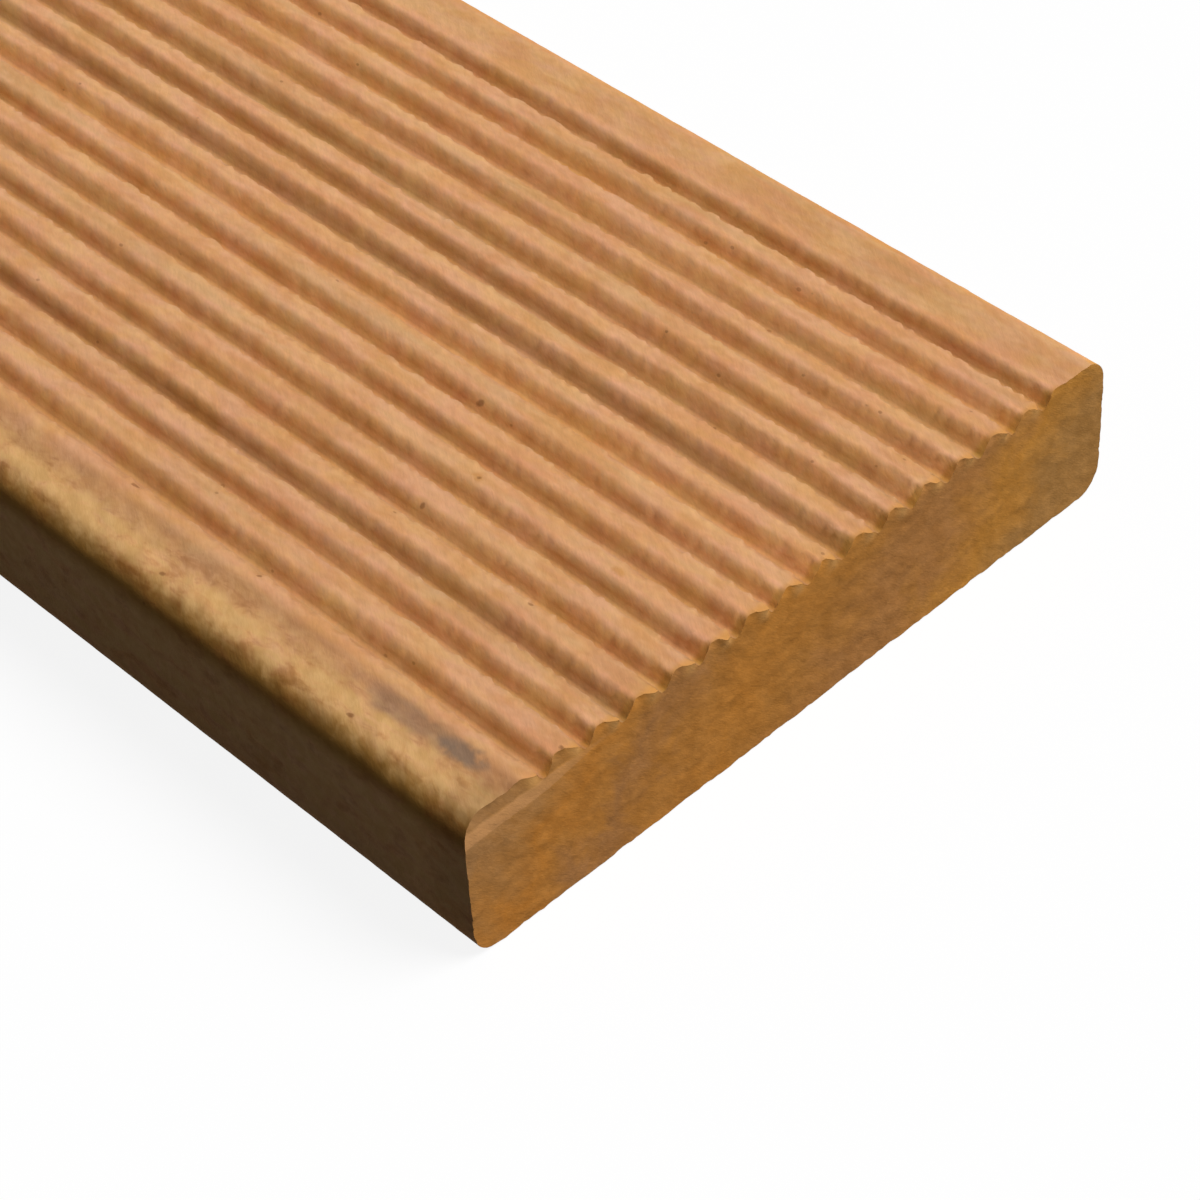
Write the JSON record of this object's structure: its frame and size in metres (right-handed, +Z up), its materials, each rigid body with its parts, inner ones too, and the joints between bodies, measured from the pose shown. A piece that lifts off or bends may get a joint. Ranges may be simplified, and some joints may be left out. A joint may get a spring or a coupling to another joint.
{
  "type": "decking board",
  "caption": "Straight length of reeded softwood decking with rounded long edges, domed ridges on the walked-on face, a plain underside and square saw-cut ends.",
  "frame": {"origin": "middle of the underside, halfway along and halfway across the board", "axes": "+X along the length towards the saw-cut end, +Y across the width, +Z up out of the grooved face"},
  "size_m": [1.8, 0.145, 0.028],
  "materials": {
    "softwood": "machined bare softwood, matt, with a slightly fuzzy grain"
  },
  "bodies": {
    "root": {"decking_board": "softwood"}
  },
  "joints": []
}
